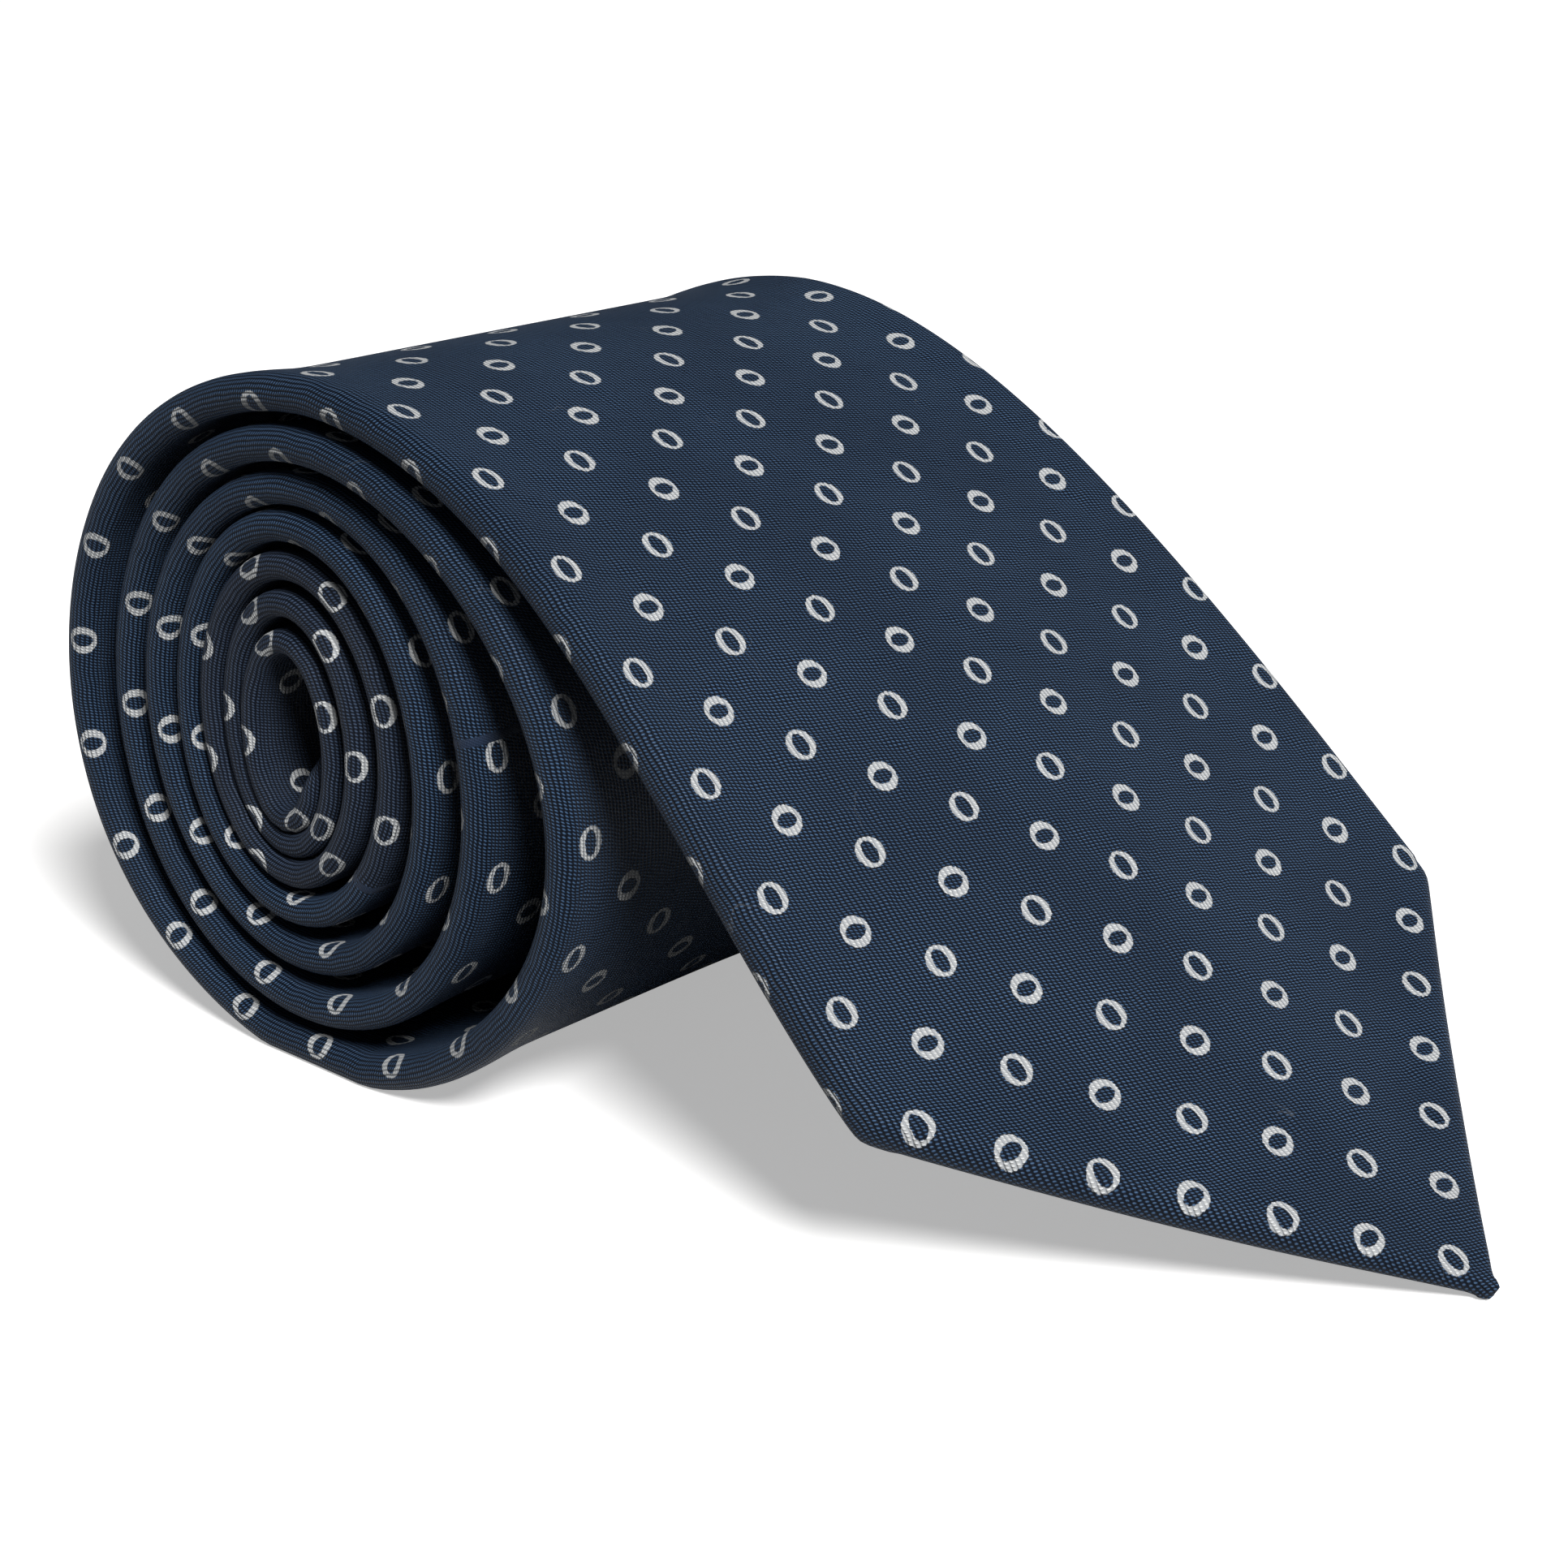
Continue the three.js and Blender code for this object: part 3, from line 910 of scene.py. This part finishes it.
# Cloth is never laid quite true: slow waves of a few tenths of a millimetre
clothWaves = {
    "lift": [(0.22, 17.3, 0.06, 0.0), (0.16, 9.1, -0.11, 1.3)],  # size, length, slant, phase
    "liftShare": 0.6,
    "shift": [(0.35, 23.7, 0.0, 0.8), (0.25, 11.9, 2.1, 0.0)],  # size, length, per turn, phase
    "growth": 60.0,
}


def wander(s, y):
    turn = turnAt(np.maximum(s, tie["freeLength"]))
    rolled = smooth((s - tie["freeLength"]) / clothWaves["growth"])
    lift = sum(size * np.sin(s / length + slant * y + phase)
               for size, length, slant, phase in clothWaves["lift"])
    shift = sum(size * np.sin(s / length + perTurn * turn + phase)
                for size, length, perTurn, phase in clothWaves["shift"])
    return rolled * lift * clothWaves["liftShare"], rolled * shift


def silkGrid():
    fold = silkFold
    last = tieLength - fold["tailGap"]
    pastTop = tie["freeLength"] + fold["pastTop"]
    stretches = [
        np.arange(0, fold["tipEnd"], fold["tipStep"]),
        np.arange(fold["tipEnd"], fold["pointEnd"], fold["pointStep"]),
        np.arange(fold["pointEnd"], pastTop, fold["freeStep"]),
        np.arange(pastTop, last, fold["rolledStep"]),
        [tie["bladePanelEnd"], tie["neckPanelEnd"], handOver, last],
    ]
    s = np.unique(np.concatenate(stretches))
    y, n, fromMiddle = sections(s)
    along = np.repeat(s[:, None], y.shape[1], axis=1)
    middle = middleLine(along)
    # the print keeps its distance from the near edge, as on a panel cut along it
    across = fromMiddle + middle
    lift, shift = wander(along, y)
    return s, along, across, place(along, y + middle + shift, n + lift)


def makeSilk(margin=1e-6):
    s, along, across, points = silkGrid()
    normals = gridNormals(points)
    coordinates = np.stack([across, along], axis=-1) * mm
    panels = [
        ("bladeSilkFree", 0, handOver, bladeSilk, "blade_free_end"),
        ("bladeSilkRolled", handOver, tie["bladePanelEnd"], bladeSilk, "blade_rolled"),
        ("neckSilkPiece", tie["bladePanelEnd"], tie["neckPanelEnd"], neckSilk, "neck_piece"),
        ("tailSilkPiece", tie["neckPanelEnd"], tieLength, tailSilk, "tail_piece"),
    ]
    made = {}
    for name, first, last, cloth, node in panels:
        part = np.where((s >= first - margin) & (s <= last + margin))[0]
        rows = slice(part[0], part[-1] + 1)
        piece = gridMesh(name, points[rows], normals[rows], coordinates[rows], cloth)
        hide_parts(node)
        made[name] = piece
    return made


silk = makeSilk()
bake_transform(silk["bladeSilkFree"])
for name in ("bladeSilkRolled", "neckSilkPiece", "tailSilkPiece"):
    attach(silk[name], "rolled_tie")
print("silk folded and rolled")


# What lies inside the silk, and what is sewn on its back

def slab(name, first, last, halfAt, low, high, material, step=1.5, steps=12, droop=None):
    # a flat layer of cloth that follows the tie, as wide as halfAt on either side of its middle
    s = np.linspace(first, last, max(3, int((last - first) / step)))
    across = np.linspace(-1, 1, steps + 1)
    ring = np.concatenate([across, across[::-1]])
    side = np.concatenate([np.full(steps + 1, low), np.full(steps + 1, high)])
    along = np.repeat(s[:, None], ring.size, axis=1)
    half = halfAt(s)[:, None]
    y = ring[None, :] * half
    n = np.repeat(side[None, :], s.size, axis=0)
    if droop is not None:
        n = n - droop(along)
    points = place(along, y + middleLine(along), n)
    piece = ringMesh(name, points, np.stack([y, along], axis=-1) * mm, material)
    size = (float(half.max()) * 2 * mm, float(last - first) * mm)
    area = float(np.trapz(2 * half[:, 0], s)) * mm * mm
    return piece, size, min(area, size[0] * size[1])


def thread(name, s, y, n, radius, material, sides=6):
    # a round thread through places on the tie
    points = place(s, y + middleLine(s), n)
    along = unit(np.gradient(points, axis=0))
    up = unit(np.cross(along, np.cross([0.0, 1.0, 0.0], along) + 1e-6))
    side = np.cross(along, up)
    turn = np.arange(sides) * 2 * math.pi / sides
    ring = up[:, None] * np.cos(turn)[None, :, None] + side[:, None] * np.sin(turn)[None, :, None]
    rings = points[:, None] + ring * radius * mm
    steps = np.linalg.norm(np.diff(points, axis=0), axis=1)
    length = np.concatenate([[0], np.cumsum(steps)])
    girth = np.tile(turn * radius * mm, (len(s), 1))
    coordinates = np.stack([girth, np.tile(length[:, None], (1, sides))], axis=-1)
    return ringMesh(name, rings, coordinates, material, sharp=80)


def backFace(s):
    return -(clothThickness(s) - silkFold["faceInset"]) / 2


def declare(piece, node, body):
    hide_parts(node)
    if body == "bends":
        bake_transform(piece)
    else:
        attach(piece, body)


interlining = {
    "floor": -0.3,
    "top": 1.1,
    "inset": 1.6,
    "pointClearance": 8.0,
    "leastHalf": 1.0,
}


def woolHalf(s):
    return np.maximum(halfWidth(s) - interlining["inset"], interlining["leastHalf"])


def makeInterlining():
    wool = interlining
    stretches = [
        ("woolInterliningFree", wool["pointClearance"], handOver,
         "interlining_free_end", "bends", "bladeSilkFree"),
        ("woolInterliningRolled", handOver, tieLength - wool["pointClearance"],
         "interlining_rolled", "rolled_tie", "bladeSilkRolled"),
    ]
    for name, first, last, node, body, rests in stretches:
        piece, size, area = slab(name, first, last, woolHalf, wool["floor"], wool["top"],
                                 cloths["woolFelt"])
        declare(piece, node, body)


tipping = {
    "floor": -0.52,
    "top": -0.38,
    "lap": 5.0,
    "inset": 2.6,
    "pointClearance": 8.0,
    "leastHalf": 1.0,
    "step": 1.5,
    "tailStep": 1.0,
}


def tippingHalf(s):
    widest = np.maximum(halfWidth(s) - tipping["inset"], tipping["leastHalf"])
    return np.minimum(openingHalf(s) + tipping["lap"], widest)


def makeTippings():
    look = tipping
    tailStart = tieLength - tie["tailSeamLength"] - look["lap"]
    points = [
        ("bladeTipping", look["pointClearance"], tie["seamStart"] + look["lap"], look["step"],
         "blade_tipping", "free_blade", "bladeSilkFree"),
        ("tailTipping", tailStart, tieLength - look["pointClearance"], look["tailStep"],
         "tail_tipping", "rolled_tie", "tailSilkPiece"),
    ]
    for name, first, last, step, node, body, rests in points:
        piece, size, area = slab(name, first, last, tippingHalf, look["floor"], look["top"],
                                 cloths["liningSatin"], step=step)
        declare(piece, node, body)


slipStitch = {
    "radius": 0.13,
    "pitch": 7.0,
    "reach": 0.9,
    "steepness": 1.6,
    "step": 1.0,
    "fromTack": 1.2,
}

barTack = {
    "radius": 0.1495,
    "length": 9.0,
    "width": 1.1,
    "wraps": 34,
    "stepsPerWrap": 4,
    "drop": 0.169,
    "weave": 0.05,
    "fromSeamEnd": 0.9,
}


def makeSlipStitch(name, first, last):
    look = slipStitch
    s = np.arange(first, last, look["step"])
    swing = np.abs(((s / look["pitch"]) % 2) - 1) * 2 - 1
    y = look["reach"] * np.clip(swing * look["steepness"], -1, 1)
    return thread(name, s, y, backFace(s) - look["radius"], look["radius"], cloths["seamThread"])


def makeBarTack(name, middle):
    look = barTack
    share = np.linspace(0, 1, look["wraps"] * look["stepsPerWrap"] + 1)
    s = middle + look["width"] / 2 * np.sin(share * look["wraps"] * 2 * math.pi)
    y = look["length"] * (share - 0.5)
    over = look["weave"] * np.cos(share * look["wraps"] * 4 * math.pi)
    return thread(name, s, y, backFace(s) - look["drop"] + over, look["radius"],
                  cloths["seamThread"])


def makeStitches():
    bladeTack = tie["seamStart"] + barTack["fromSeamEnd"]
    tailTack = tieLength - tie["tailSeamLength"] - barTack["fromSeamEnd"]
    gap = slipStitch["fromTack"]
    declare(makeSlipStitch("slipStitchFree", bladeTack + gap, handOver),
            "slip_stitch_free_end", "bends")
    declare(makeSlipStitch("slipStitchRolled", handOver, tailTack - gap),
            "slip_stitch_rolled", "rolled_tie")
    declare(makeBarTack("bladeBarTack", bladeTack), "blade_bar_tack",
            "free_blade")
    declare(makeBarTack("tailBarTack", tailTack), "tail_bar_tack",
            "rolled_tie")


keeper = {
    "place": 204.0,
    "length": 15.0,
    "width": 58.0,
    "foot": 6.0,
    "arch": 0.85,
    "halfThickness": 0.32,
    "offSilk": 0.15,
    "stations": 59,
    "turnSteps": 7,
}


def makeKeeper():
    # a folded band of the same silk over the label, sewn down at both ends
    look = keeper
    at, length, width = look["place"], look["length"], look["width"]
    y = np.linspace(-width / 2, width / 2, look["stations"])
    arch = smooth((width / 2 - np.abs(y)) / look["foot"]) * look["arch"]
    thick, steps = look["halfThickness"], look["turnSteps"]
    straight = length / 2 - thick
    turn = np.linspace(0, math.pi, steps)
    ringS = np.concatenate([straight + thick * np.sin(turn), -straight - thick * np.sin(turn)])
    ringN = np.concatenate([thick * np.cos(turn), -thick * np.cos(turn)])
    # one point more in the middle of each flat side
    ringS = np.insert(ringS, [steps, 2 * steps], [0.0, 0.0])
    ringN = np.insert(ringN, [steps, 2 * steps], [-thick, thick])
    along = at + np.repeat(ringS[None, :], y.size, axis=0)
    surface = float(backFace(np.array(at)))
    n = surface - look["offSilk"] - thick - arch[:, None] + ringN[None, :]
    across = np.repeat(y[:, None], ringS.size, axis=1)
    points = place(along, across + middleLine(np.full(along.shape, at)), n)
    coordinates = np.stack([ringS[None, :] + 0 * across, across], axis=-1) * mm
    piece = ringMesh("keeperLoop", points, coordinates, bladeSilk)
    declare(piece, "keeper_loop", "rolled_tie")


wovenLabel = {
    "place": keeper["place"],
    "size": (42.0, 26.0),
    "offSilk": 0.12,
    "thickness": 0.30,
    "droop": 0.0,
}

careLabel = {
    "place": 246.0,
    "size": (22.0, 28.0),
    "offSilk": 0.12,
    "thickness": 0.24,
    "droop": 0.7,  # sewn along one end, a little loose at the other
}


def makeLabel(name, look, material, node):
    width, length = look["size"]
    first = look["place"] - length / 2
    top = float(backFace(np.array(look["place"]))) - look["offSilk"]

    def halfAt(s):
        return np.full(s.shape, width / 2)

    def droop(s):
        return look["droop"] * smooth((s - first) / length) ** 2

    piece, size, area = slab(name, first, first + length, halfAt, top - look["thickness"], top,
                             material, droop=droop)
    declare(piece, node, "rolled_tie")


piecingSeam = {
    "half": 0.5,
    "ridgeHalf": 0.2,
    "ridge": 0.05,
}


def makePiecingSeam(name, node, at):
    half, ridgeHalf, ridge = (piecingSeam[key] for key in ("half", "ridgeHalf", "ridge"))
    s = np.array([at - half, at - ridgeHalf, at + ridgeHalf, at + half])
    y, n, across = sections(s)
    along = np.repeat(s[:, None], y.shape[1], axis=1)
    lift, shift = wander(along, y)
    raised = np.array([0.0, ridge, ridge, 0.0])[:, None] * np.sign(n)
    points = place(along, y + middleLine(along) + shift, n + lift + raised)
    coordinates = np.stack([across, along], axis=-1) * mm
    piece = gridMesh(name, points, gridNormals(points), coordinates, cloths["seamThread"])
    declare(piece, node, "rolled_tie")


makeInterlining()
makeTippings()
makeStitches()
makeLabel("wovenLabel", wovenLabel, cloths["labelSatin"], "label")
makeLabel("careLabel", careLabel, cloths["careRibbon"], "care_label")
makeKeeper()
makePiecingSeam("bladeNeckSeam", "blade_neck_seam", tie["bladePanelEnd"])
makePiecingSeam("neckTailSeam", "neck_tail_seam", tie["neckPanelEnd"])
print("linings, stitches and labels sewn in")
